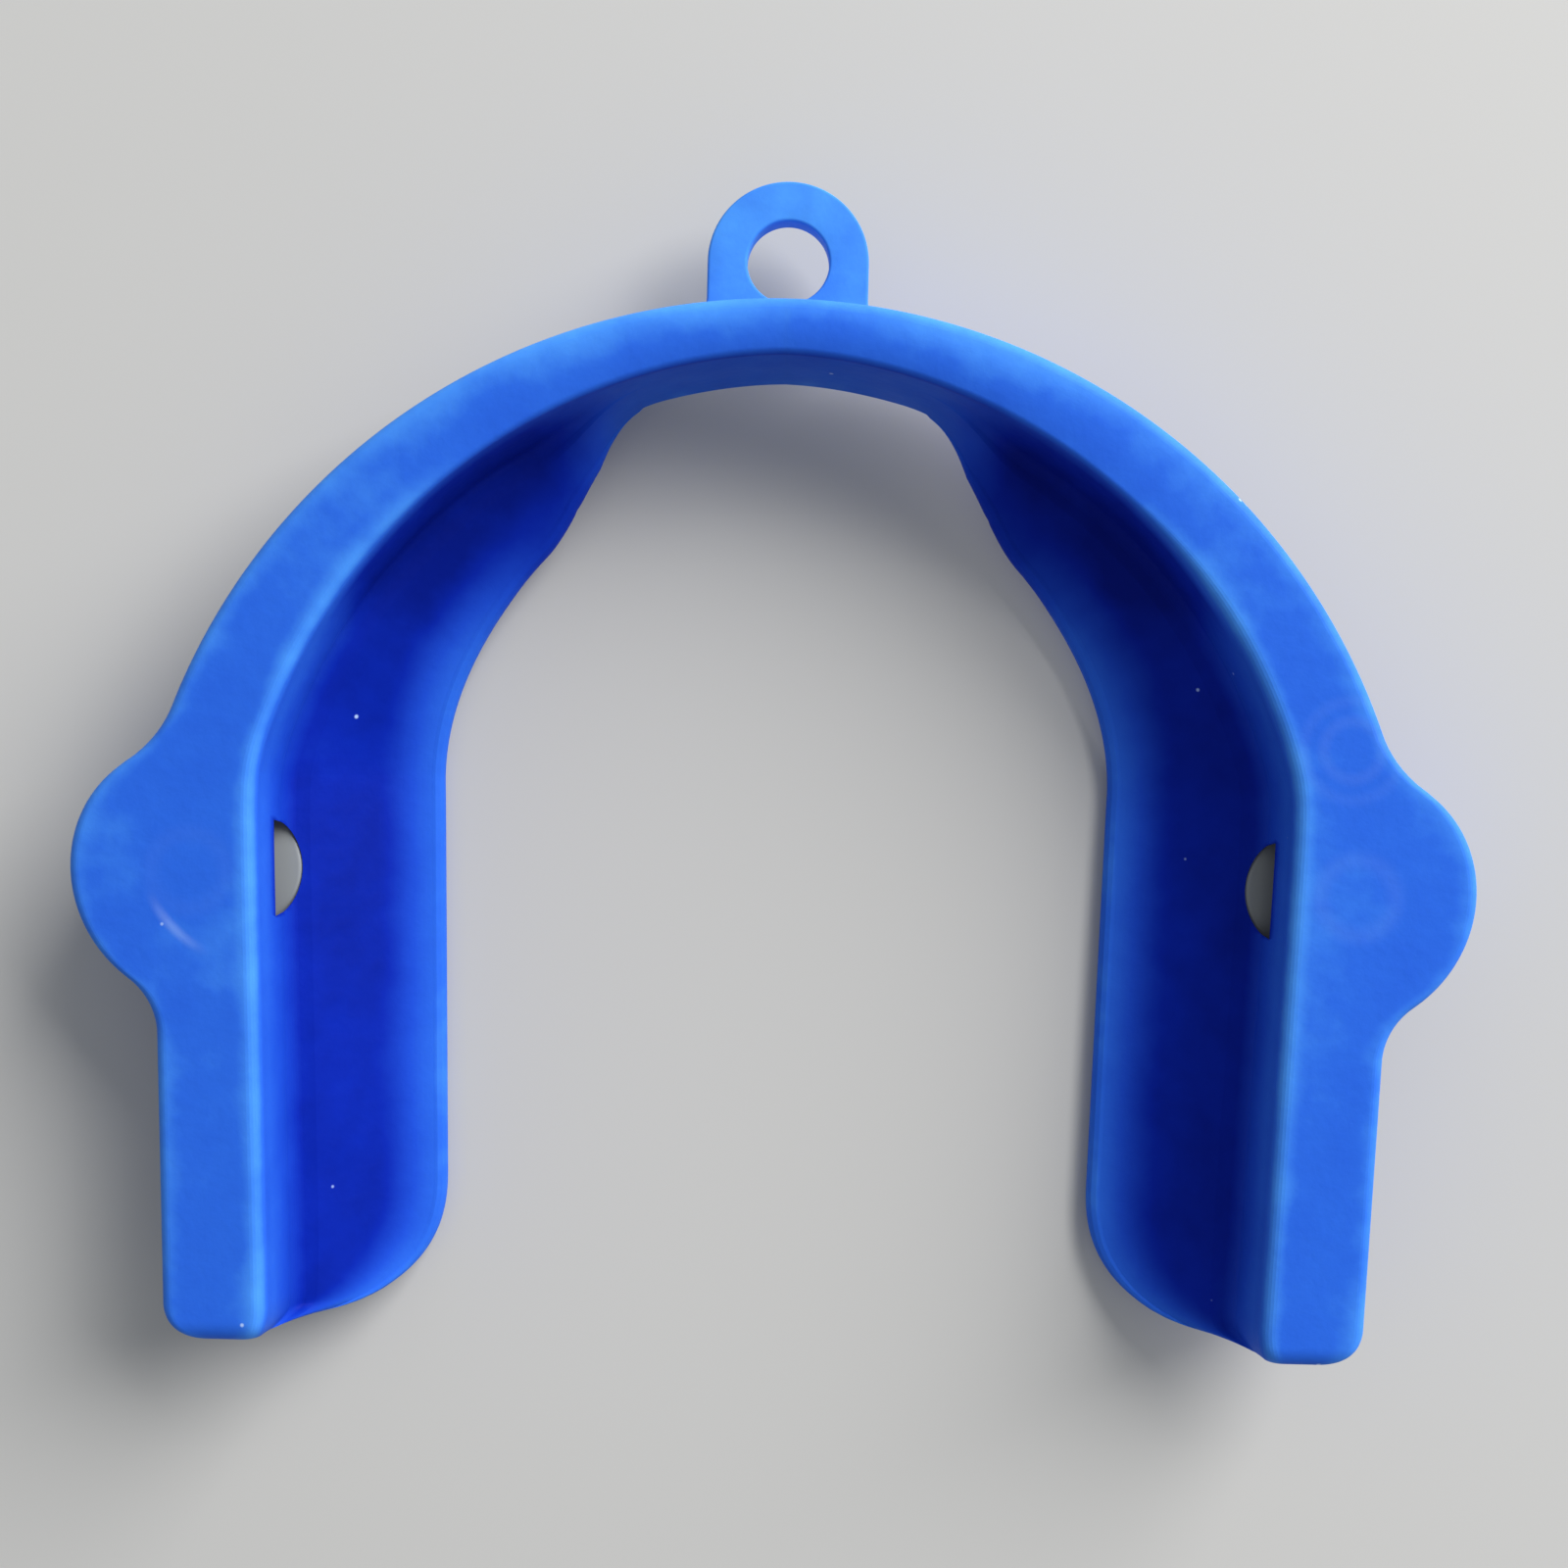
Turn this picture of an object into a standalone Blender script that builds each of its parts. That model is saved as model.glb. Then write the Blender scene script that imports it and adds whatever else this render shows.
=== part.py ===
"""Silicone cheek retractor, lying on its back with the rim's flat face up.

A C-shaped moulding: a thick rim, a gutter-shaped wing along the inside of
each leg, a round boss on the outside of each leg that holds a small disc,
and a hanging tab at the top of the bow.
The moulding is divided where it flexes: at the two necks of the bow and at
the root of the tab. Each moving piece has its origin on its flexing axis.
Metres, +Z up, legs towards -Y, symmetric about X = 0.
"""

import math

import bmesh
import bpy
from mathutils import Vector

MM = 0.001

# Driving dimensions, in millimetres.
HEIGHT = 10.5            # rim face above the surface that the wings rest on
BOW_RADIUS = 37.8        # outer outline of the bow
BOW_CENTRE_Y = -9.2      # centre of that arc
LEG_X = 36.6             # outer side of a leg at Y = 0
LEG_LEAN = 0.046         # a leg and its wing lean inwards by this much for each mm down
LEG_END_Y = -33.3
LEG_CORNER = 2.2         # plan radius at the corners of a leg's end
JOIN_SOFT = 0.3          # how softly a leg's straight side runs into the bow
RIM_LEG = 6.3            # width of the rim's face along a leg
RIM_BOW = 3.4            # and at the top of the bow
RIM_POWER = 1.3          # how early the rim narrows round the bow
RIM_EASE = 0.08          # share of the bow over which the narrowing sets in
BAR_LEG = 5.6            # depth of the rim's outer wall along a leg
BAR_BOW = 8.2            # and at the top of the bow
DEEPER_FROM = 0.1        # share of the bow where the wall starts to deepen
DEEPER_OVER = 0.8        # and how long that takes
ROUND = 0.9              # rounding of the rim's long edges
SMALLEST_FLAT = 0.1      # flat that is left between two roundings
END_SINK = 0.8           # share of the rounding by which a leg's end drops
ROOT_LEG = 5.0           # depth of the wing's root below the rim's face
ROOT_BOW = 6.8
ROOT_FILLET = 0.4        # and this far above the root the wall starts to turn
ROOT_STEP = 0.1
WING_RADIUS = 21.0       # inner edge of the wings, about the origin
WING_SHOULDER = 20.3     # and where the wings start round the bow
SHOULDER_AT = 20.0       # degrees
WING_BOW_RADIUS = 25.3   # where the wing has run out at the top of the bow
WING_FROM = 43.0         # degrees: the wing starts to narrow here
WING_TO = 79.0           # and has run out here
WING_THICK = 1.5
WING_CURVE = 0.65        # how much of the wing's fall is curved: the rest is even
WING_REACH = 8.4         # a wing this wide falls all the way to the surface
WING_LEAST = 0.3         # the bead that is left where the wing has run out
WING_SHORTEST = 0.5      # and the shortest wing surface in any section
WING_END_Y = -24.8       # the wing starts to round off here
WING_END_LENGTH = 8.4
WING_END_POWER = 2.4     # how square its corner is
WING_END_TUCK = 0.8      # and how far it draws back past the rim's inner wall
HEEL = 0.3               # the underside meets the bar this far inside its wall
BOSS_X = 33.3
BOSS_Y = -5.8
BOSS_RADIUS = 7.9
BOSS_FILLET = 4.0
BOSS_DEPTH = 8.9         # the bar is this deep at the boss
BOSS_GROWS = 4.0         # a boss that stands out this far has its full depth
DISC_X = 32.95
DISC_RADIUS = 4.25
DISC_THICK = 2.1
DISC_DEPTH = 5.0         # top of the disc below the rim's face
DISC_EDGE = 0.25
POCKET_DEPTH = 3.0       # ceiling of the disc's pocket below the rim's face
GAP = 0.3                # clearance between neighbouring pieces
FLEX_PATH = 10.5         # distance from the top of the bow to a flexing axis
FLEX_END = 3.4           # radius of an arm's end about its flexing axis
TAB_WIDTH = 9.8
TAB_CENTRE_Y = 31.8
TAB_THICK = 1.6
TAB_TOP_DEPTH = 4.5
TAB_HOLE_RADIUS = 2.4
TAB_EDGE = 0.35
TAB_ROOT_ROUND = 0.45    # rounding of the tab's edge beside the bow

SECTION_WING_STEPS = 8
SHARP_DEGREES = 35.0     # edges sharper than this stay sharp
BOW_STATIONS = 18        # round the bow, closer together towards the boss
STATION_POWER = 1.4
FIRST_STATION = 2.5      # degrees from the flexing axis to the first plain section
BOW_ANGLES = (82.0, 86.0)
LEG_STEP = 2.4           # mm between stations down a leg
BOSS_STEP = 1.1          # and beside the boss
END_STATIONS = 10
ROUND_STEPS = 3
BEAD_STEPS = 2
POCKET_SIDES = 32
DISC_SIDES = 36
LOOP_STEP = 12.0         # degrees between sections round the tab's loop
ROOT_STEPS = 6           # sections along the tab's root
CORNER_STEP = 0.5        # degrees either side of the root's corners

TAB_TIP_Y = TAB_CENTRE_Y + TAB_WIDTH / 2
FRAME_Y = (TAB_TIP_Y + LEG_END_Y) / 2    # the part is centred on the frame's origin


def smooth(t):
    t = min(max(t, 0.0), 1.0)
    return t * t * (3.0 - 2.0 * t)


def mix(a, b, t):
    return a + (b - a) * t


def bow_share(angle):
    """0 on a leg and 1 at the top of the bow."""
    return min(max(angle / 90.0, 0.0), 1.0)


def softer_of(a, b):
    """The smaller of two distances, with the corner between them rounded off."""
    return -JOIN_SOFT * math.log(math.exp(-a / JOIN_SOFT) + math.exp(-b / JOIN_SOFT))


def outline_radius(angle):
    """Distance from the origin to the bow's outer outline."""
    a = math.radians(angle)
    across = BOW_CENTRE_Y * math.cos(a)
    arc = BOW_CENTRE_Y * math.sin(a) + math.sqrt(BOW_RADIUS**2 - across**2)
    if angle > 45.0:
        return arc
    return softer_of(arc, LEG_X / (math.cos(a) - LEG_LEAN * math.sin(a)))


def leg_outline(y):
    """X of a leg's outer side."""
    rise = max(y - BOW_CENTRE_Y, 0.0)
    return softer_of(LEG_X + LEG_LEAN * y, math.sqrt(BOW_RADIUS**2 - rise**2))


def rim_width(angle):
    share = bow_share(angle)
    eased = (1.0 + RIM_EASE) * share**2 / (share + RIM_EASE)
    return mix(RIM_LEG, RIM_BOW, 1.0 - max(1.0 - eased, 0.0) ** RIM_POWER)


def wing_radius(angle):
    low = mix(WING_RADIUS, WING_SHOULDER, smooth(angle / SHOULDER_AT))
    t = (angle - WING_FROM) / (WING_TO - WING_FROM)
    return mix(low, WING_BOW_RADIUS, smooth(t))


def boss_bulge(y):
    """How far the boss stands out past a leg's outer side at this height."""
    side = LEG_X + LEG_LEAN * BOSS_Y
    fillet_x = side + BOSS_FILLET - BOSS_X
    reach = BOSS_RADIUS + BOSS_FILLET
    fillet_dy = math.sqrt(reach**2 - fillet_x**2)
    tangent_dy = fillet_dy * BOSS_RADIUS / reach
    dy = abs(y - BOSS_Y)
    if dy < tangent_dy:
        return BOSS_X + math.sqrt(BOSS_RADIUS**2 - dy**2) - side
    if dy < fillet_dy:
        return BOSS_FILLET - math.sqrt(BOSS_FILLET**2 - (fillet_dy - dy) ** 2)
    return 0.0


def arc(centre, radius, first, last, steps):
    """Points (u, depth) of an arc: 0 degrees points inwards, 90 down."""
    points = []
    for i in range(steps + 1):
        a = math.radians(mix(first, last, i / steps))
        u = centre[0] + radius * math.cos(a)
        points.append((u, centre[1] + radius * math.sin(a)))
    return points


def wing_fall(t):
    """Share of the wing's fall at a share of its reach."""
    t = min(t, 1.0)
    return WING_CURVE * math.sin(math.pi / 2 * t) + (1.0 - WING_CURVE) * t


def section(width, wing, bar, root, bulge=0.0, inset=0.0, sink=0.0):
    """One closed cross-section as (u, depth) points.

    u runs inwards from the outer outline, depth down from the rim's face.
    inset and sink draw the rim in at the end of a leg.
    """
    outer = inset - bulge
    inner = width - inset
    edge = WING_THICK / 2
    reach = max(width + wing - edge - inner, WING_SHORTEST)
    fall = HEIGHT - WING_THICK - root
    points = arc((outer + ROUND, sink + ROUND), ROUND, 180, 270, ROUND_STEPS)
    for part in (1 / 3, 2 / 3):
        points.append((mix(outer + ROUND, inner - ROUND, part), sink))
    points += arc((inner - ROUND, sink + ROUND), ROUND, 270, 360, ROUND_STEPS)
    points.append((inner, root - ROOT_FILLET))
    upper = []
    for i in range(SECTION_WING_STEPS + 1):
        t = i / SECTION_WING_STEPS
        depth = root + fall * wing_fall(t * reach / WING_REACH)
        upper.append((inner + ROOT_STEP + t * reach, depth))
    points += upper
    tip = (upper[-1][0], upper[-1][1] + edge)
    points += arc(tip, edge, -45, 45, BEAD_STEPS)
    floor = bar - sink
    for i in range(SECTION_WING_STEPS, 0, -1):
        share = i / SECTION_WING_STEPS
        under = upper[i][1] + 2 * edge
        filled = mix(floor, upper[-1][1] + 2 * edge, share)
        points.append((upper[i][0], mix(max(under, filled), under, share)))
    points.append((inner - HEEL, max(floor, root + edge)))
    points.append((mix(outer, inner, 0.5), floor))
    points += arc((outer + ROUND, floor - ROUND), ROUND, 90, 180, ROUND_STEPS)
    return points


def bow_section(angle):
    share = bow_share(angle)
    width = rim_width(angle)
    wing = outline_radius(angle) - width - wing_radius(angle)
    deeper = smooth((share - DEEPER_FROM) / DEEPER_OVER)
    bar = mix(BAR_LEG, BAR_BOW, deeper)
    root = mix(ROOT_LEG, ROOT_BOW, deeper)
    bulge = boss_bulge(outline_radius(angle) * math.sin(math.radians(angle)))
    deep = mix(bar, BOSS_DEPTH, smooth(bulge / BOSS_GROWS))
    return section(width, max(wing, WING_LEAST), deep, root, bulge)


def bow_station(angle):
    """The bow's section at an angle from the X axis, as (x, y, z, u) points."""
    a = math.radians(angle)
    out = outline_radius(angle)
    points = []
    for u, depth in bow_section(angle):
        r = out - u
        points.append((r * math.cos(a), r * math.sin(a), HEIGHT - depth, u))
    return points


def flex_axis():
    """Centre of the thin bar where an arm flexes, and that place's angle."""
    middle = BOW_RADIUS + BOW_CENTRE_Y - RIM_BOW / 2
    angle = 90.0 - math.degrees(FLEX_PATH / middle)
    radius = outline_radius(angle) - rim_width(angle) / 2
    a = math.radians(angle)
    return radius * math.cos(a), radius * math.sin(a), angle


def turned_station(reach):
    """The bow's section bent round the flexing axis, towards the bow's top."""
    x, y, angle = flex_axis()
    a = math.radians(angle)
    cut = angle + math.degrees(reach / math.hypot(x, y))
    middle = rim_width(cut) / 2
    points = []
    for u, depth in bow_section(cut):
        side = u - middle
        ahead = math.sqrt(reach**2 - side**2)
        side += ahead**2 / (2 * math.hypot(x, y))
        ahead = math.sqrt(reach**2 - side**2)
        px = x - side * math.cos(a) - ahead * math.sin(a)
        py = y - side * math.sin(a) + ahead * math.cos(a)
        points.append((px, py, HEIGHT - depth, u))
    return points


def leg_station(y):
    """A leg's section at this Y, as (x, y, z, u) points."""
    outer = leg_outline(y)
    wing = outer - RIM_LEG - WING_RADIUS - LEG_LEAN * y
    past = min((WING_END_Y - y) / WING_END_LENGTH, 1.0)
    if past > 0.0:
        left = (1.0 - past**WING_END_POWER) ** (1.0 / WING_END_POWER)
        wing = (wing + WING_END_TUCK) * left - WING_END_TUCK
    corner = max(LEG_CORNER - (y - LEG_END_Y), 0.0)
    inset = LEG_CORNER - math.sqrt(LEG_CORNER**2 - min(corner, LEG_CORNER) ** 2)
    inset = min(inset, RIM_LEG / 2 - ROUND - SMALLEST_FLAT)
    over = max(ROUND - (y - LEG_END_Y), 0.0)
    sink = END_SINK * (ROUND - math.sqrt(ROUND**2 - min(over, ROUND) ** 2))
    bulge = boss_bulge(y)
    bar = mix(BAR_LEG, BOSS_DEPTH, smooth(bulge / BOSS_GROWS))
    parts = section(RIM_LEG, wing, bar, ROOT_LEG, bulge, inset, sink)
    return [(outer - u, y, HEIGHT - depth, u) for u, depth in parts]


def arm_stations():
    first = flex_axis()[2]
    stations = [turned_station(FLEX_END), bow_station(first + FIRST_STATION)]
    for i in range(BOW_STATIONS + 1):
        left = 1.0 - i / BOW_STATIONS
        stations.append(bow_station(first * left**STATION_POWER))
    levels = []
    y = -BOSS_STEP
    while y > WING_END_Y:
        levels.append(y)
        beside_boss = y - BOSS_Y > -(BOSS_RADIUS + BOSS_FILLET)
        y -= BOSS_STEP if beside_boss else LEG_STEP
    for i in range(END_STATIONS + 1):
        turn = math.radians(90.0 * i / END_STATIONS)
        levels.append(WING_END_Y + (LEG_END_Y - WING_END_Y) * math.sin(turn))
    for level in levels:
        stations.append(leg_station(level))
    return stations


def mirrored(points):
    return [(-x, y, z, u) for x, y, z, u in points]


def material(name, colour, roughness):
    made = bpy.data.materials.new(name)
    made.use_nodes = True
    shader = made.node_tree.nodes["Principled BSDF"]
    shader.inputs["Base Color"].default_value = (*colour, 1.0)
    shader.inputs["Roughness"].default_value = roughness
    shader.inputs["Metallic"].default_value = 0.0
    return made


def finish(name, bm, origin, paint):
    """Makes an object from a mesh in millimetres, with its origin at a point."""
    bmesh.ops.triangulate(bm, faces=bm.faces)
    bmesh.ops.recalc_face_normals(bm, faces=bm.faces)
    bmesh.ops.translate(bm, verts=bm.verts, vec=-Vector(origin))
    bmesh.ops.scale(bm, verts=bm.verts, vec=(MM, MM, MM))
    mesh = bpy.data.meshes.new(name)
    bm.to_mesh(mesh)
    bm.free()
    mesh.materials.append(paint)
    mesh.shade_smooth()
    mesh.set_sharp_from_angle(angle=math.radians(SHARP_DEGREES))
    made = bpy.data.objects.new(name, mesh)
    made.location = (Vector(origin) - Vector((0.0, FRAME_Y, 0.0))) * MM
    bpy.context.scene.collection.objects.link(made)
    return made


def cover_end(bm, ring, across):
    """Closes a section with a strip of faces that runs from its outer side in."""
    low, high = 0, len(ring) - 1
    while high - low > 1:
        if across[low + 1] <= across[high - 1]:
            bm.faces.new((ring[low], ring[low + 1], ring[high]))
            low += 1
        else:
            bm.faces.new((ring[low], ring[high - 1], ring[high]))
            high -= 1


def loft(stations, closed=False):
    """Skins equal rings of points, and covers both ends unless closed."""
    bm = bmesh.new()
    rings = []
    for points in stations:
        rings.append([bm.verts.new(point[:3]) for point in points])
    pairs = list(zip(rings, rings[1:]))
    if closed:
        pairs.append((rings[-1], rings[0]))
    for here, there in pairs:
        for i in range(len(here)):
            j = (i + 1) % len(here)
            bm.faces.new((here[i], here[j], there[j], there[i]))
    if not closed:
        for end in (0, -1):
            cover_end(bm, rings[end], [point[3] for point in stations[end]])
    return bm


def cylinder(name, centre, radius, low, high, sides, paint):
    bm = bmesh.new()
    bmesh.ops.create_cone(
        bm, cap_ends=True, segments=sides, radius1=radius, radius2=radius, depth=high - low
    )
    middle = (centre[0], centre[1], (low + high) / 2)
    bmesh.ops.translate(bm, verts=bm.verts, vec=middle)
    return finish(name, bm, middle, paint)


def make_arm(side, name, paint):
    stations = arm_stations()
    x, y, _ = flex_axis()
    if side < 0:
        stations = [mirrored(points) for points in stations]
    arm = finish(name, loft(stations), (side * x, y, HEIGHT / 2), paint)
    ceiling = HEIGHT - POCKET_DEPTH
    ground = HEIGHT - DISC_DEPTH - DISC_THICK - GAP
    place = (side * DISC_X, BOSS_Y)
    wide = DISC_RADIUS + GAP
    pocket = cylinder(name + "_pocket", place, wide, ground, ceiling, POCKET_SIDES, paint)
    pocket.hide_render = True
    pocket.display_type = "WIRE"
    cut = arm.modifiers.new("disc pocket", "BOOLEAN")
    cut.object = pocket
    return arm


def make_bow(paint):
    half = [turned_station(FLEX_END + GAP)]
    for angle in BOW_ANGLES:
        half.append(bow_station(angle))
    stations = half + [bow_station(90.0)] + [mirrored(p) for p in reversed(half)]
    top = BOW_RADIUS + BOW_CENTRE_Y
    return finish("front_bow", loft(stations), (0.0, top - RIM_BOW / 2, HEIGHT / 2), paint)


def tab_root_y():
    return BOW_RADIUS + BOW_CENTRE_Y + GAP


def tab_ring(angle):
    """One section across the tab's loop, from its hole to its outer edge."""
    a = math.radians(angle)
    ray = (math.cos(a), math.sin(a))
    half = TAB_WIDTH / 2
    reach = half
    rounding = TAB_EDGE
    if ray[1] < 0.0:
        to_side = half / max(abs(ray[0]), 1e-6)
        to_root = (TAB_CENTRE_Y - tab_root_y()) / -ray[1]
        reach = min(to_side, to_root)
        rounding = TAB_ROOT_ROUND if to_root <= to_side else TAB_EDGE
    top = HEIGHT - TAB_TOP_DEPTH
    low = top - TAB_THICK
    profile = []
    for i in range(4):
        turn = math.radians(30.0 * i)
        out = reach - rounding * (1.0 - math.cos(turn))
        profile.append((out, top - rounding * (1.0 - math.sin(turn))))
    profile.append((TAB_HOLE_RADIUS, top))
    profile.append((TAB_HOLE_RADIUS, low))
    for i in range(3, -1, -1):
        turn = math.radians(30.0 * i)
        out = reach - rounding * (1.0 - math.cos(turn))
        profile.append((out, low + rounding * (1.0 - math.sin(turn))))
    return [(r * ray[0], TAB_CENTRE_Y + r * ray[1], z) for r, z in profile]


def make_tab(paint):
    corner = math.degrees(math.atan2(TAB_CENTRE_Y - tab_root_y(), TAB_WIDTH / 2))
    left, right = 180.0 + corner, 360.0 - corner
    angles = [i * LOOP_STEP for i in range(round(180.0 / LOOP_STEP) + 1)]
    angles += [left - corner / 2, left - CORNER_STEP, left + CORNER_STEP]
    angles += [mix(left, right, i / ROOT_STEPS) for i in range(1, ROOT_STEPS)]
    angles += [right - CORNER_STEP, right + CORNER_STEP, right + corner / 2]
    rings = [tab_ring(angle) for angle in angles]
    axis = (0.0, tab_root_y() + TAB_THICK / 2, HEIGHT - TAB_TOP_DEPTH - TAB_THICK / 2)
    return finish("hang_tab", loft(rings, closed=True), axis, paint)


def make_disc(side, name, paint):
    high = HEIGHT - DISC_DEPTH
    place = (side * DISC_X, BOSS_Y)
    disc = cylinder(name, place, DISC_RADIUS, high - DISC_THICK, high, DISC_SIDES, paint)
    soften = disc.modifiers.new("edge", "BEVEL")
    soften.width = DISC_EDGE * MM
    soften.segments = 2
    soften.limit_method = "ANGLE"
    return disc


for old in list(bpy.data.objects):
    bpy.data.objects.remove(old)

silicone = material("blue_silicone", (0.03, 0.13, 0.68), 0.4)
disc_grey = material("disc_grey", (0.35, 0.36, 0.36), 0.35)

make_bow(silicone)
make_tab(silicone)
for side, word in ((-1, "left"), (1, "right")):
    make_arm(side, word + "_arm", silicone)
    make_disc(side, word + "_disc", disc_grey)
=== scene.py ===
import math

import bpy
import numpy as np
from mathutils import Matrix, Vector


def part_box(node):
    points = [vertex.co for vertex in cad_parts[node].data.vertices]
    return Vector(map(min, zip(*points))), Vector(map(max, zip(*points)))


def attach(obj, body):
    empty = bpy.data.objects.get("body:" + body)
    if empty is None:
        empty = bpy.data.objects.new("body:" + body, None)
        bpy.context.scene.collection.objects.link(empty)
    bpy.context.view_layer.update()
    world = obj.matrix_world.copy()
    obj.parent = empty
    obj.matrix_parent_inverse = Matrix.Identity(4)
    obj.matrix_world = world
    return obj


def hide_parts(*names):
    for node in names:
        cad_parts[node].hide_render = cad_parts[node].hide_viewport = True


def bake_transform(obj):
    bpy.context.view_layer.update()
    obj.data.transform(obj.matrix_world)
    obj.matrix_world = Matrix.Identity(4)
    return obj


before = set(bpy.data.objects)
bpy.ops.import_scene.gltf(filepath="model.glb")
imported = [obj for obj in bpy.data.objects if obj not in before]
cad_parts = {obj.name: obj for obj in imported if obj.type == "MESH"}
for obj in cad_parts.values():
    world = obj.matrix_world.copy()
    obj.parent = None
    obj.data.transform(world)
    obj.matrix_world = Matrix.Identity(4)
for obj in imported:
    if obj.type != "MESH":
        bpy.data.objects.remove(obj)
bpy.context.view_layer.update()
MM = 0.001


# ---- The moulding ---------------------------------------------------------
# Rim, wings and side bosses are one shot of translucent blue silicone, pulled
# from a two-part mould that leaves a fine line round the outer wall, which is not
# drawn here. It is laid up here as two mirror halves that meet at the top of the bow.

arm_low, arm_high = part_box("right_arm")
bow_low, bow_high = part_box("front_bow")
disc_low, disc_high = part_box("right_disc")

FACE = arm_high.z                        # height of the rim's flat face
LEG_END = arm_low.y
BOW_TOP = bow_high.y
BOW_RADIUS = 37.8 * MM
BOW_CENTRE = BOW_TOP - BOW_RADIUS
MOUTH = -1.7 * MM                        # centre that the wings curve round
LEG_SIDE = 36.6 * MM                     # outer side of a leg beside the mouth's centre
LEG_LEAN = 0.046                         # a leg comes in by this much for each mm down
WING_LEAN = 0.03                         # and the free edge of its wing by this much
CORNER = 2.2 * MM                        # at a leg's end, seen from above
END_ROUND = 1.2 * MM                     # at a leg's end, seen from the side
RIM_LEG = 6.15 * MM
RIM_BOW = 3.35 * MM
BAR_LEG = 5.6 * MM                       # depth of the bar below the rim's face
BAR_BOW = 8.2 * MM
BAR_BOSS = 8.9 * MM
ROOT_LEG = 5.0 * MM                      # depth where a wing leaves the bar
ROOT_BOW = 6.8 * MM
DISC = (disc_low + disc_high) / 2
POCKET_DEPTH = 3.0 * MM                  # its ceiling below the rim's face
BOSS_X = 33.3 * MM
BOSS_Y = DISC.y
BOSS_RADIUS = arm_high.x - BOSS_X
BOSS_FILLET = 4.0 * MM
BOSS_GROWS = 4.0 * MM                    # a boss that stands out this far has its full depth
WING_SKIN = 1.5 * MM
WING_RADIUS = 21.0                       # free edge of the wings in mm: beside the mouth,
WING_SHOULDER = 20.3                     # above it,
WING_TOP = 25.3                          # and where they run out
WING_REACH = 7.3 * MM                    # how far a whole wing stands out from the wall
WING_STARTS_ROUND = -26.5 * MM
WING_ROUND = 8.4 * MM
WING_TUCK = 0.8 * MM


def ease(t):
    t = min(max(t, 0.0), 1.0)
    return t * t * (3.0 - 2.0 * t)


def between(a, b, t):
    return a + (b - a) * t


def round_edge(u, depth, radius, first, last, count):
    turns = np.radians(np.linspace(first, last, count))
    return [(u + radius * math.cos(t), depth + radius * math.sin(t)) for t in turns]


def softer_of(a, b):
    """The smaller of two distances, with the corner between them rounded off."""
    soft = 0.3 * MM
    return -soft * math.log(math.exp(-a / soft) + math.exp(-b / soft))


def bow_outline(angle):
    """Distance from the mouth's centre to the bow's outline."""
    a = math.radians(angle)
    drop = BOW_CENTRE - MOUTH
    arc = drop * math.sin(a) + math.sqrt(BOW_RADIUS**2 - (drop * math.cos(a)) ** 2)
    if angle > 45.0:
        return arc
    return softer_of(arc, LEG_SIDE / (math.cos(a) - LEG_LEAN * math.sin(a)))


def leg_outline(y):
    rise = max(y - BOW_CENTRE, 0.0)
    return softer_of(LEG_SIDE + LEG_LEAN * (y - MOUTH), math.sqrt(BOW_RADIUS**2 - rise**2))


def boss_stands_out(y):
    side = LEG_SIDE + LEG_LEAN * (BOSS_Y - MOUTH)
    reach = BOSS_RADIUS + BOSS_FILLET
    far = math.sqrt(reach**2 - (side + BOSS_FILLET - BOSS_X) ** 2)
    dy = abs(y - BOSS_Y)
    if dy < far * BOSS_RADIUS / reach:
        return BOSS_X + math.sqrt(BOSS_RADIUS**2 - dy**2) - side
    if dy < far:
        return BOSS_FILLET - math.sqrt(BOSS_FILLET**2 - (far - dy) ** 2)
    return 0.0


def wing_fall(t):
    t = min(t, 1.0)
    return 0.65 * math.sin(math.pi / 2 * t) + 0.35 * t


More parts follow.
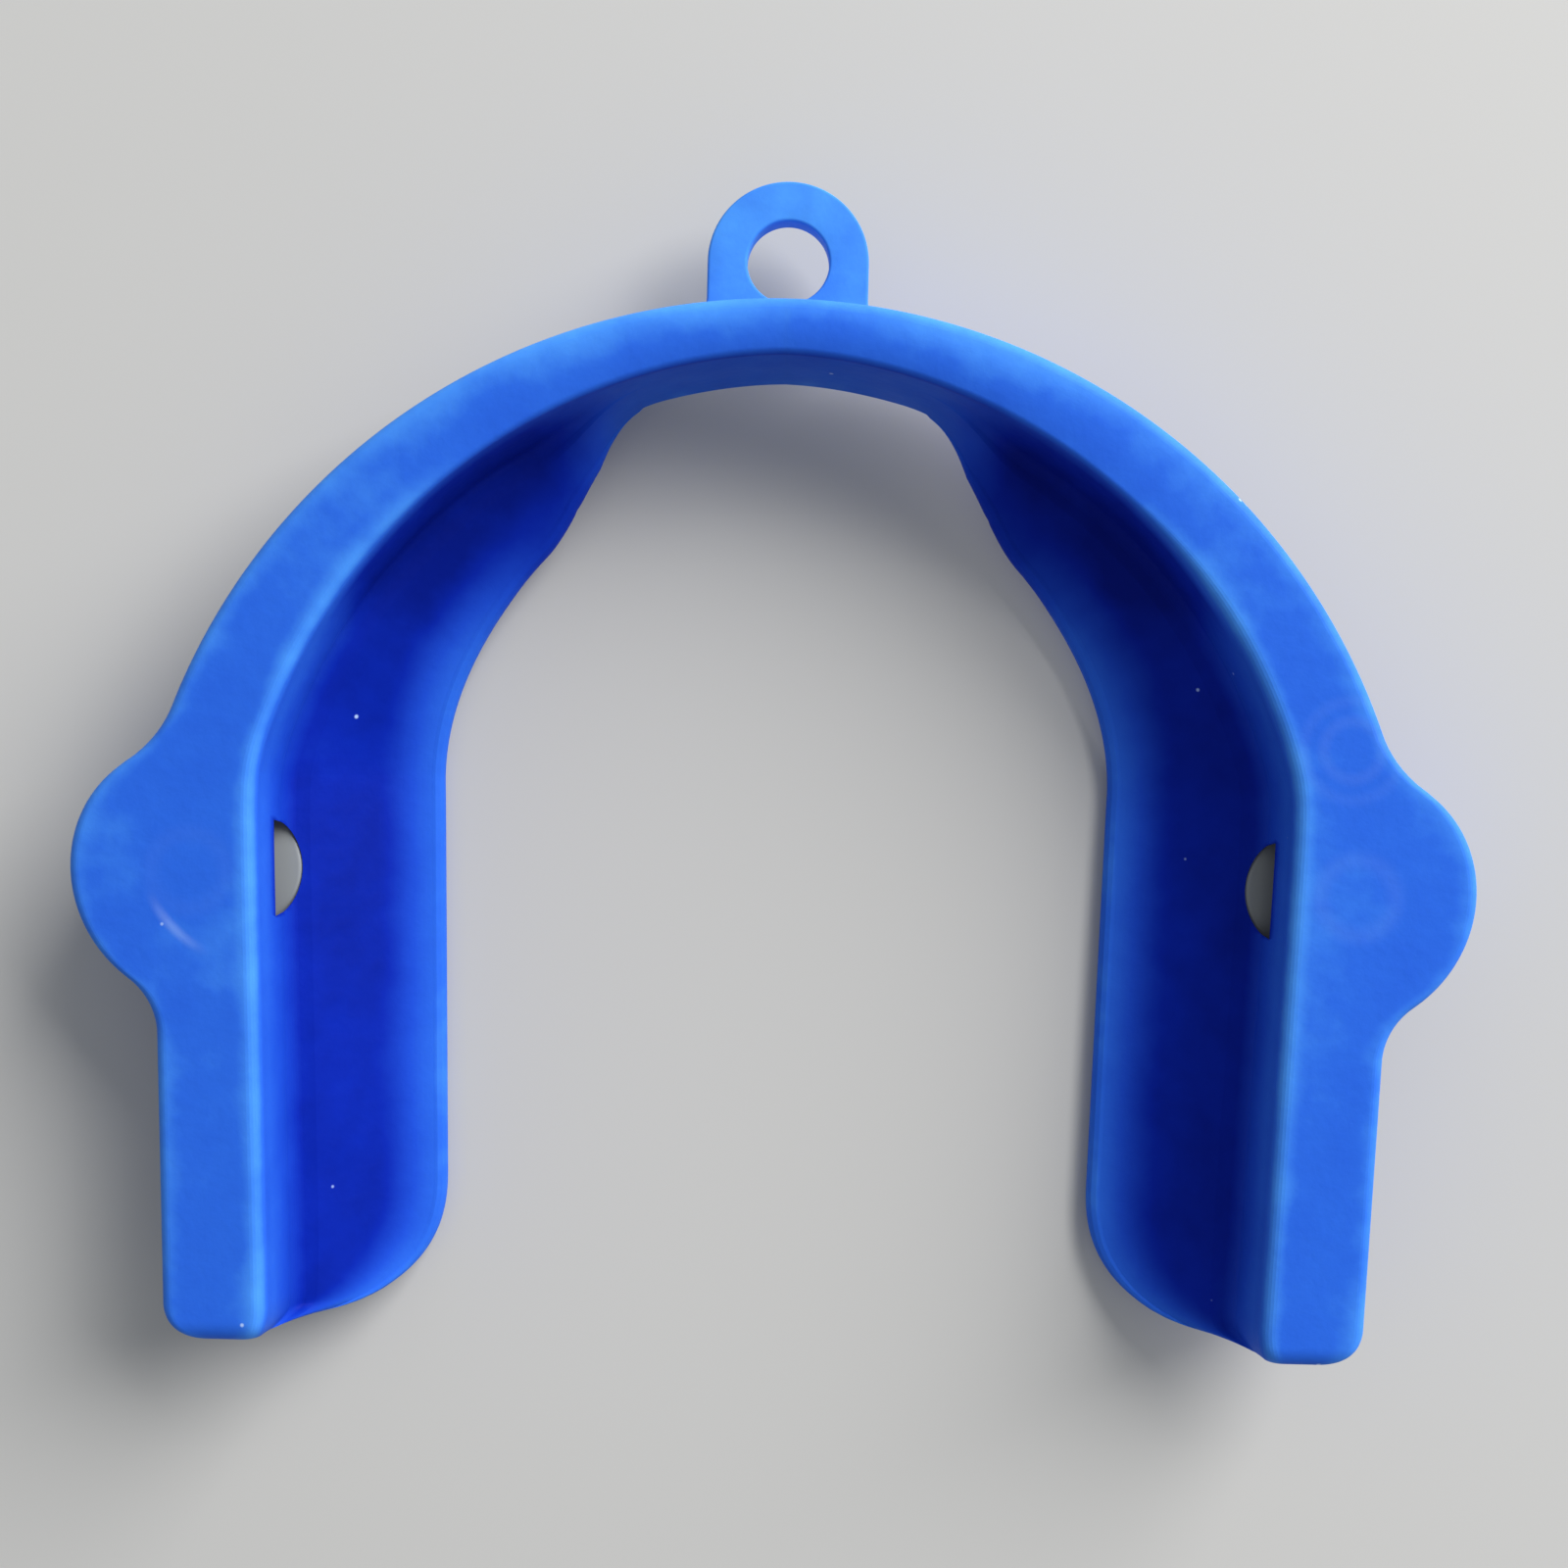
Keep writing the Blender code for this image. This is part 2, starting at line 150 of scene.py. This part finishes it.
def cross_section(rim, wing, wall, root, bulge, thin, inset=0.0, sink=0.0):
    """The moulding cut across: (inwards, depth, tone) points, once round.

    Bulge is how far a boss stands out. Thin runs from 0 on a leg to 1 at the top
    of the bow. Inset and sink round off a leg's end. The third value is painted light and shade:
    0 on edges painted as lit, 0.2 on the rim's face, to 1 for painted shade in deep blue.
    """
    outer = inset - bulge
    inner = rim - 0.45 * inset
    most = (inner - outer) / 2 - 0.05 * MM
    edge_out = min(0.7 * MM, most)
    edge_in = min(between(0.85, 0.35, ease(thin * 2)) * MM, most)
    floor = wall - sink
    top = round_edge(outer + edge_out, sink + edge_out, edge_out, 180, 270, 8)
    for i in range(1, 16):
        top.append((between(outer + edge_out, inner - edge_in, i / 16), sink))
    top += round_edge(inner - edge_in, sink + edge_in, edge_in, 270, 360, 8)
    crown = between(0.0, 0.3, thin) * MM
    points = []
    # Painted light on the rim: rounded edges painted lighter as highlights, the arch's outer side
    # painted lighter where light falls, and the inner edge painted darker as shade where it turns down
    # into the wall.
    for u, d in top:
        across = (u - outer) / (inner - outer)
        from_outer = ease(1.0 - (u - outer) / (1.8 * MM))
        from_inner = ease(1.0 - (inner - u) / (1.7 * MM))
        on_leg = 0.21 - 0.1 * from_outer - 0.19 * from_inner
        on_arch = between(0.02, 0.34, across) - 0.06 * from_inner
        turned = ease((d - sink) / edge_in) if across > 0.5 else 0.0
        painted_shading = between(on_leg, on_arch, ease(thin * 1.4)) + 0.3 * turned
        points.append((u, d + crown * (2 * across - 1) ** 2, painted_shading))
    high = points[-1][1]

    draft = between(0.4, 0.3, thin) * MM
    bead = WING_SKIN / 2
    plain = 1.0 - ease((wing - draft) / (4.5 * MM))
    if plain < 0.95:
        wing = min((wing - plain * draft) / (1.0 - plain), max(wing, 4.5 * MM))
    fillet = 1.2 * MM
    start = inner + draft + fillet
    reach = max(rim + wing - bead - start, 0.5 * MM)
    dip = FACE - WING_SKIN - root
    winged = []
    # Painted shade: the wall under the rim is painted darker going down, and deep blue in the fillet at
    # the wing's root, where shade falls in the corner.
    deep = between(0.89, 1.0, ease(thin * 4))
    light, dark = between(0.22, 0.8, ease(thin * 7)), between(0.6, 1.0, ease(thin * 7))
    for i in range(1, 5):
        t = i / 4
        winged.append((inner + draft * t, between(high, root - fillet, t), between(light, dark, t)))
    for i, (u, d) in enumerate(round_edge(start, root - fillet, fillet, 172, 114, 8)):
        winged.append((u, d, between(dark, deep, (i + 1) / 9)))
    upper = []
    for i in range(25):
        u = start + reach * i / 24
        upper.append((u, root + dip * wing_fall((u - start) / WING_REACH)))
    tip_u, tip_d = upper[-1]
    # Painted light and shade on the wing: its thin free edge painted lightest as lit and shining
    # through, darkening over 4.2 mm to painted shade in deep blue toward the root.
    lightest = between(0.2, 0.78, ease(thin * 1.8))
    for u, d in upper[1:]:
        from_edge = (tip_u + bead - u) / (4.2 * MM)
        winged.append((u, d, between(lightest, deep, ease(from_edge))))
    winged += [(u, d, lightest) for u, d in round_edge(tip_u, tip_d + bead, bead, -72, 80, 7)]
    for i in range(24, 0, -1):
        u, d = upper[i]
        filled = between(floor, tip_d + WING_SKIN, i / 24)
        painted_shading = between(lightest, deep, ease((tip_u - u) / (4.2 * MM)))
        winged.append((u, max(d + WING_SKIN, filled), painted_shading))
    winged.append((inner - 0.3 * MM, max(floor, root + bead), 0.5))

    nose = 0.8 * MM
    foot = inner + draft
    # Painted light on the plain wall at the top of the bow: 0.34 down to 0.2 and 0.12 on its nose,
    # painted lighter as light shining through the thin silicone; 0.5 underneath.
    walled = []
    for i in range(1, 37):
        t = i / 36
        walled.append((inner + draft * t, between(high, floor - nose, t), between(0.34, 0.2, t)))
    walled += [(u, d, 0.12) for u, d in round_edge(foot - nose, floor - nose, nose, 5, 85, 7)]
    walled += [(foot - nose - 0.5 * MM * i / 24, floor, 0.5) for i in range(1, 26)]
    for a, b in zip(winged, walled):
        points.append(tuple(between(p, q, plain) for p, q in zip(a, b)))

    # Painted shading values underneath and up the outer wall: 0.3 under the bar, 0.2 on its rounded
    # edge, 0.15 on the outer wall.
    low_edge = 0.9 * MM
    heel = points[-1][0]
    for i in range(1, 5):
        points.append((between(heel, outer + low_edge, i / 5), floor, 0.3))
    for u, d in round_edge(outer + low_edge, floor - low_edge, low_edge, 90, 180, 6):
        points.append((u, d, 0.2))
    high, low = sink + edge_out + crown, floor - low_edge
    for i in range(7, 0, -1):
        points.append((outer, between(high, low, i / 8), 0.15))
    return points


def bow_row(angle):
    """Where a section of the bow stands, which way it runs, and its shape."""
    a = math.radians(angle)
    out = bow_outline(angle)
    share = angle / 90.0
    round_in = 1.08 * share**2 / (share + 0.08)
    rim = between(RIM_LEG, RIM_BOW, 1.0 - max(1.0 - round_in, 0.0) ** 1.3)
    wing_edge = between(WING_RADIUS, WING_SHOULDER, ease(angle / 36.0))
    wing_edge = between(wing_edge, WING_TOP, ease((angle - 43.0) / 36.0)) * MM
    wing = max(out - rim - wing_edge, 0.3 * MM)
    thin = ease((share - 0.1) / 0.8)
    bulge = boss_stands_out(MOUTH + out * math.sin(a))
    wall = between(between(BAR_LEG, BAR_BOW, thin), BAR_BOSS, ease(bulge / BOSS_GROWS))
    root = between(ROOT_LEG, ROOT_BOW, thin)
    stand = (out * math.cos(a), MOUTH + out * math.sin(a))
    inwards = (-math.cos(a), -math.sin(a))
    return stand, inwards, cross_section(rim, wing, wall, root, bulge, thin)


def leg_row(y):
    side = leg_outline(y)
    past = min(max((WING_STARTS_ROUND - y) / WING_ROUND, 0.0), 1.0)
    left = (1.0 - past**2.4) ** (1.0 / 2.4)
    wing_edge = WING_RADIUS * MM + WING_LEAN * (y - MOUTH)
    wing = (side - RIM_LEG - wing_edge + WING_TUCK) * left - WING_TUCK
    to_end = y - LEG_END
    corner = max(CORNER - to_end, 0.0)
    inset = min(CORNER - math.sqrt(CORNER**2 - corner**2), RIM_LEG / 2 - 1.2 * MM)
    over = max(END_ROUND - to_end, 0.0)
    sink = 0.8 * (END_ROUND - math.sqrt(END_ROUND**2 - over**2))
    bulge = boss_stands_out(y)
    wall = between(BAR_LEG, BAR_BOSS, ease(bulge / BOSS_GROWS))
    points = cross_section(RIM_LEG, wing, wall, ROOT_LEG, bulge, 0.0, inset, sink)
    return (side, y), (-1.0, 0.0), points


def half_rows():
    rows = [bow_row(90.0 * (1.0 - i / 130)) for i in range(131)]
    straight = MOUTH - WING_STARTS_ROUND
    rows += [leg_row(MOUTH - straight * i / 80) for i in range(1, 81)]
    rest = WING_STARTS_ROUND - LEG_END
    rows += [leg_row(WING_STARTS_ROUND - rest * math.sin(math.pi / 2 * i / 50)) for i in range(1, 51)]
    return rows


def half_moulding(side, name):
    rows = half_rows()
    around = len(rows[0][2])
    bpy.ops.object.select_all(action="DESELECT")
    along = len(rows) - 1
    bpy.ops.mesh.primitive_grid_add(x_subdivisions=around, y_subdivisions=along, size=0.1)
    half = bpy.context.object
    half.name = name
    places, painted_shading_values = [], []
    for (x, y), (dx, dy), points in rows:
        for u, depth, painted_shading in points + points[:1]:
            places.append((side * (x + dx * u), y + dy * u, FACE - depth))
            painted_shading_values.append(painted_shading)
    half.data.vertices.foreach_set("co", np.array(places).ravel())
    attribute = half.data.attributes.new("painted_shading", "FLOAT", "POINT")
    attribute.data.foreach_set("value", np.array(painted_shading_values))
    bpy.ops.object.mode_set(mode="EDIT")
    bpy.ops.mesh.select_all(action="SELECT")
    bpy.ops.mesh.remove_doubles(threshold=1e-6)
    bpy.ops.mesh.fill_holes(sides=0)
    bpy.ops.mesh.select_all(action="SELECT")
    bpy.ops.mesh.normals_make_consistent(inside=False)
    bpy.ops.object.mode_set(mode="OBJECT")
    return half


def cut_disc_pocket(half, side):
    """Cuts the round pocket of a disc, and paints shade in deep blue round the cut, where the pocket's
    recess lies in shadow.
    """
    low, high = disc_low.z - 0.15 * MM, FACE - POCKET_DEPTH
    radius = (disc_high.x - disc_low.x) / 2 - 0.04 * MM
    place = (side * DISC.x, DISC.y, (low + high) / 2)
    deep = high - low
    bpy.ops.mesh.primitive_cylinder_add(vertices=96, radius=radius, depth=deep, location=place)
    cutter = bpy.context.object
    cut = half.modifiers.new("pocket", "BOOLEAN")
    cut.object = cutter
    bpy.context.view_layer.objects.active = half
    bpy.ops.object.modifier_apply(modifier="pocket")
    bpy.data.objects.remove(cutter)
    painted_shading = half.data.attributes["painted_shading"].data
    # Painted shade: points on the pocket's walls are set to deep blue.
    for vertex in half.data.vertices:
        away = math.hypot(vertex.co.x - side * DISC.x, vertex.co.y - DISC.y)
        if away < radius + 0.02 * MM and low - 0.1 * MM < vertex.co.z < high + 0.1 * MM:
            painted_shading[vertex.index].value = 0.85


def keep_places(piece, painted_shading=None):
    """Stores where each point of a piece lies at rest, for the marks in its material, and can give
    every point one painted light-and-shade value.
    """
    count = len(piece.data.vertices)
    places = np.empty(count * 3, np.float32)
    piece.data.vertices.foreach_get("co", places)
    piece.data.attributes.new("rest", "FLOAT_VECTOR", "POINT").data.foreach_set("vector", places)
    if painted_shading is not None:
        attribute = piece.data.attributes.new("painted_shading", "FLOAT", "POINT")
        attribute.data.foreach_set("value", np.full(count, painted_shading, np.float32))


def silicone():
    made = bpy.data.materials.new("blue silicone")
    made.use_nodes = True
    nodes, links = made.node_tree.nodes, made.node_tree.links
    shader = nodes["Principled BSDF"]
    shader.inputs["IOR"].default_value = 1.41
    shader.inputs["Specular IOR Level"].default_value = 0.06
    shader.inputs["Subsurface Weight"].default_value = 0.12
    shader.inputs["Subsurface Radius"].default_value = (0.3, 0.6, 1.0)
    shader.inputs["Subsurface Scale"].default_value = 0.001
    place = nodes.new("ShaderNodeAttribute")
    place.attribute_name = "rest"

    def noise(scale, detail, low, high):
        cloud = nodes.new("ShaderNodeTexNoise")
        cloud.inputs["Scale"].default_value = scale
        cloud.inputs["Detail"].default_value = detail
        spread = nodes.new("ShaderNodeMapRange")
        spread.inputs["From Min"].default_value = 0.3
        spread.inputs["From Max"].default_value = 0.7
        spread.inputs["To Min"].default_value = low
        spread.inputs["To Max"].default_value = high
        links.new(place.outputs["Vector"], cloud.inputs["Vector"])
        links.new(cloud.outputs["Fac"], spread.inputs["Value"])
        return spread.outputs["Result"]

    def mathematics(kind, a, b):
        node = nodes.new("ShaderNodeMath")
        node.operation = kind
        for socket, value in zip(node.inputs, (a, b)):
            if isinstance(value, float):
                socket.default_value = value
            else:
                links.new(value, socket)
        return node.outputs[0]

    def near(x, y, radius, width, strength):
        """1 on a faint ring of this radius seen from above, or on a dot for radius 0."""
        flat = nodes.new("ShaderNodeVectorMath")
        flat.operation = "MULTIPLY"
        flat.inputs[1].default_value = (1, 1, 0)
        links.new(place.outputs["Vector"], flat.inputs[0])
        away = nodes.new("ShaderNodeVectorMath")
        away.operation = "DISTANCE"
        away.inputs[1].default_value = (x * MM, y * MM, 0)
        links.new(flat.outputs["Vector"], away.inputs[0])
        past = mathematics("SUBTRACT", away.outputs["Value"], radius * MM)
        gap = mathematics("ABSOLUTE", past, 0.0)
        fade = nodes.new("ShaderNodeMapRange")
        fade.interpolation_type = "SMOOTHSTEP"
        fade.inputs["From Min"].default_value = 0.0
        fade.inputs["From Max"].default_value = width * MM
        fade.inputs["To Min"].default_value = strength
        fade.inputs["To Max"].default_value = 0.0
        links.new(gap, fade.inputs["Value"])
        return fade.outputs["Result"]

    # The painted shading attribute, with real random mottling added, picks the blue on the ramp:
    # lightest for painted highlights and light shining through thin edges, deepest for painted shade in
    # corners and recesses.
    painted_shading = nodes.new("ShaderNodeAttribute")
    painted_shading.attribute_name = "painted_shading"
    cloudy = mathematics("ADD", noise(170.0, 2.0, -0.045, 0.045), noise(700.0, 3.0, -0.02, 0.02))
    mixed = mathematics("ADD", painted_shading.outputs["Fac"], cloudy)
    ramp = nodes.new("ShaderNodeValToRGB")
    ramp.color_ramp.elements[0].color = (0.075, 0.32, 0.88, 1)
    ramp.color_ramp.elements[1].color = (0.001, 0.010, 0.23, 1)
    levels = (
        (0.2, (0.025, 0.135, 0.70, 1)),
        (0.5, (0.012, 0.07, 0.57, 1)),
        (0.85, (0.002, 0.018, 0.36, 1)),
    )
    for at, colour in levels:
        ramp.color_ramp.elements.new(at).color = colour
    links.new(mixed, ramp.inputs["Fac"])

    # Faint rings on and above the right boss, and a curved scratch on the left one.
    marks = near(34.1, -7.5, 2.2, 0.9, 0.025)
    marks = mathematics("ADD", marks, near(-34.1, -7.5, 2.2, 0.9, 0.012))
    marks = mathematics("ADD", marks, near(33.6, 1.1, 1.7, 0.6, 0.03))
    marks = mathematics("ADD", marks, near(33.6, 1.1, 2.9, 0.6, 0.02))
    arc = near(-29.6, -5.4, 7.6, 0.45, 1.0)
    scratch = mathematics("MULTIPLY", arc, near(-34.9, -10.8, 0.0, 2.8, 0.2))
    marks = mathematics("ADD", marks, scratch)
    # A few pale specks of dust.
    flecks = nodes.new("ShaderNodeTexVoronoi")
    flecks.inputs["Scale"].default_value = 260.0
    links.new(place.outputs["Vector"], flecks.inputs["Vector"])
    dot = nodes.new("ShaderNodeMapRange")
    dot.inputs["From Min"].default_value = 0.022
    dot.inputs["From Max"].default_value = 0.042
    dot.inputs["To Min"].default_value = 0.8
    dot.inputs["To Max"].default_value = 0.0
    links.new(flecks.outputs["Distance"], dot.inputs["Value"])
    marks = mathematics("ADD", marks, dot.outputs["Result"])
    marked = nodes.new("ShaderNodeMix")
    marked.data_type = "RGBA"
    marked.inputs[7].default_value = (0.5, 0.66, 0.95, 1)
    links.new(marks, marked.inputs[0])
    links.new(ramp.outputs["Color"], marked.inputs[6])
    links.new(marked.outputs[2], shader.inputs["Base Color"])
    links.new(noise(260.0, 4.0, 0.42, 0.56), shader.inputs["Roughness"])
    bump = nodes.new("ShaderNodeBump")
    bump.inputs["Strength"].default_value = 0.12
    bump.inputs["Distance"].default_value = 0.0001
    links.new(noise(1400.0, 3.0, 0.0, 1.0), bump.inputs["Height"])
    links.new(bump.outputs["Normal"], shader.inputs["Normal"])
    return made


blue = silicone()
halves = {}
for side, name in ((-1, "left"), (1, "right")):
    half = half_moulding(side, name + "_moulding")
    cut_disc_pocket(half, side)
    keep_places(half)
    bpy.ops.object.shade_smooth_by_angle(angle=math.radians(40))
    half.data.materials.append(blue)
    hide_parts(name + "_arm", "front_bow")
    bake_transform(half)
    halves[name] = half


# ---- The hanging tab ------------------------------------------------------
# A flat loop of the same silicone behind the top of the bow, lower than the
# rim's face. Its edges are rounded, and it flares where it grows out of the wall.

tab_low, tab_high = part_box("hang_tab")
TAB_HALF = (tab_high.x - tab_low.x) / 2
TAB_HOLE_Y = tab_high.y - TAB_HALF
TAB_HOLE_RADIUS = 2.5 * MM
TAB_THICK = tab_high.z - tab_low.z
ROOT_FILLET = 0.9 * MM
BURIED = 1.4 * MM                        # how far its root goes into the bow

bpy.ops.object.select_all(action="DESELECT")
centre = (0, TAB_HOLE_Y, tab_low.z)
bpy.ops.mesh.primitive_circle_add(vertices=128, radius=TAB_HALF, location=centre)
tab = bpy.context.object
tab.name = "hanging_tab"
bpy.ops.object.transform_apply(location=True, rotation=True, scale=True)
bpy.ops.object.mode_set(mode="EDIT")
bpy.ops.mesh.select_mode(type="VERT")
bpy.ops.mesh.select_all(action="DESELECT")
bpy.ops.object.mode_set(mode="OBJECT")
for vertex in tab.data.vertices:
    vertex.select = vertex.co.y < TAB_HOLE_Y - 0.01 * MM
bpy.ops.object.mode_set(mode="EDIT")
bpy.ops.mesh.delete(type="VERT")
bpy.ops.object.mode_set(mode="OBJECT")
for vertex in tab.data.vertices:
    vertex.select = vertex.co.y < TAB_HOLE_Y + 0.01 * MM
bpy.ops.object.mode_set(mode="EDIT")
straight = TAB_HOLE_Y - BOW_TOP - ROOT_FILLET
for i in range(6):
    bpy.ops.mesh.extrude_region_move(TRANSFORM_OT_translate={"value": (0, -straight / 6, 0)})
reach = TAB_HALF
for i in range(1, 9):
    turn = math.pi / 2 * i / 8
    wide = TAB_HALF + ROOT_FILLET * (1.0 - math.cos(turn))
    down = ROOT_FILLET * (math.sin(turn) - math.sin(math.pi / 2 * (i - 1) / 8))
    bpy.ops.mesh.extrude_region_move(TRANSFORM_OT_translate={"value": (0, -down, 0)})
    bpy.ops.transform.resize(value=(wide / reach, 1, 1), center_override=(0, 0, 0))
    reach = wide
bpy.ops.mesh.extrude_region_move(TRANSFORM_OT_translate={"value": (0, -BURIED, 0)})
bpy.ops.mesh.select_all(action="SELECT")
bpy.ops.mesh.edge_face_add()
bpy.ops.mesh.extrude_region_move(TRANSFORM_OT_translate={"value": (0, 0, TAB_THICK)})
bpy.ops.mesh.select_all(action="SELECT")
bpy.ops.mesh.normals_make_consistent(inside=False)
bpy.ops.object.mode_set(mode="OBJECT")

middle = (0, TAB_HOLE_Y, (tab_low.z + tab_high.z) / 2)
through = 2 * TAB_THICK
bpy.ops.mesh.primitive_cylinder_add(vertices=96, radius=TAB_HOLE_RADIUS, depth=through, location=middle)
punch = bpy.context.object
hole = tab.modifiers.new("hole", "BOOLEAN")
hole.object = punch
soften = tab.modifiers.new("soft edges", "BEVEL")
soften.width = 0.4 * MM
soften.segments = 5
soften.limit_method = "ANGLE"
soften.angle_limit = math.radians(50)
bpy.context.view_layer.objects.active = tab
bpy.ops.object.modifier_apply(modifier="hole")
bpy.ops.object.modifier_apply(modifier="soft edges")
bpy.data.objects.remove(punch)
bpy.ops.object.select_all(action="DESELECT")
tab.select_set(True)
bpy.ops.object.mode_set(mode="EDIT")
for i in range(1, 12):
    bpy.ops.mesh.select_all(action="SELECT")
    level = (0, BOW_TOP + i * 0.2 * MM, 0)
    bpy.ops.mesh.bisect(plane_co=level, plane_no=(0, 1, 0))
bpy.ops.object.mode_set(mode="OBJECT")
bpy.ops.object.shade_smooth_by_angle(angle=math.radians(40))
# Painted light: the whole tab is painted lighter blue, as lit and shining through its thin silicone.
keep_places(tab, painted_shading=0.06)
tab.data.materials.append(blue)
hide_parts("hang_tab")
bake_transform(tab)


# ---- The discs ------------------------------------------------------------
# A smooth grey disc in a pocket in each boss. Its edge shows where the pocket
# breaks through the corner between the rim's wall and the wing.

def disc_grey():
    made = bpy.data.materials.new("disc grey")
    made.use_nodes = True
    shader = made.node_tree.nodes["Principled BSDF"]
    shader.inputs["Base Color"].default_value = (0.27, 0.285, 0.29, 1)
    shader.inputs["Roughness"].default_value = 0.35
    return made


grey = disc_grey()
for side, name in ((-1, "left"), (1, "right")):
    low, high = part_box(name + "_disc")
    middle = (low + high) / 2
    bpy.ops.object.select_all(action="DESELECT")
    radius, thick = (high.x - low.x) / 2, high.z - low.z
    bpy.ops.mesh.primitive_cylinder_add(vertices=128, radius=radius, depth=thick, location=middle)
    disc = bpy.context.object
    disc.name = name + "_boss_disc"
    bpy.ops.object.transform_apply(location=True, rotation=True, scale=True)
    soften = disc.modifiers.new("soft edge", "BEVEL")
    soften.width = 0.35 * MM
    soften.segments = 5
    soften.limit_method = "ANGLE"
    bpy.ops.object.modifier_apply(modifier="soft edge")
    bpy.ops.object.shade_smooth_by_angle(angle=math.radians(40))
    disc.data.materials.append(grey)
    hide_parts(name + "_disc")
    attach(disc, name + "_side")


# ---- Table, light and camera ---------------------------------------------
# A pale table, a large soft light at the upper right like a window, and a
# camera straight above.

bpy.ops.mesh.primitive_plane_add(size=3, location=(0, 0, 0))
table = bpy.context.object
table.name = "table"
paper = bpy.data.materials.new("pale table")
paper.use_nodes = True
shader = paper.node_tree.nodes["Principled BSDF"]
shader.inputs["Base Color"].default_value = (0.56, 0.55, 0.53, 1)
shader.inputs["Roughness"].default_value = 0.8
table.data.materials.append(paper)

world = bpy.data.worlds.new("room")
bpy.context.scene.world = world
world.use_nodes = True
background = world.node_tree.nodes["Background"]
background.inputs["Color"].default_value = (0.9, 0.95, 1.0, 1)
background.inputs["Strength"].default_value = 0.36

bpy.ops.object.light_add(type="AREA", location=(0.58, 0.53, 0.48))
window = bpy.context.object
window.data.shape = "RECTANGLE"
window.data.size = 0.72
window.data.size_y = 0.72
window.data.energy = 14.3
window.rotation_euler = (-Vector(window.location)).to_track_quat("-Z", "Y").to_euler()

ABOVE = 108 * MM
TURN = math.radians(1.35)
place = (0.485 * MM, -1.63 * MM, FACE + ABOVE)
bpy.ops.object.camera_add(location=place, rotation=(0, 0, TURN))
camera = bpy.context.object
camera.data.lens = 42.55
camera.data.sensor_width = 36.0
camera.data.clip_start = 0.005
bpy.context.scene.camera = camera
bpy.context.scene.view_settings.view_transform = "Standard"
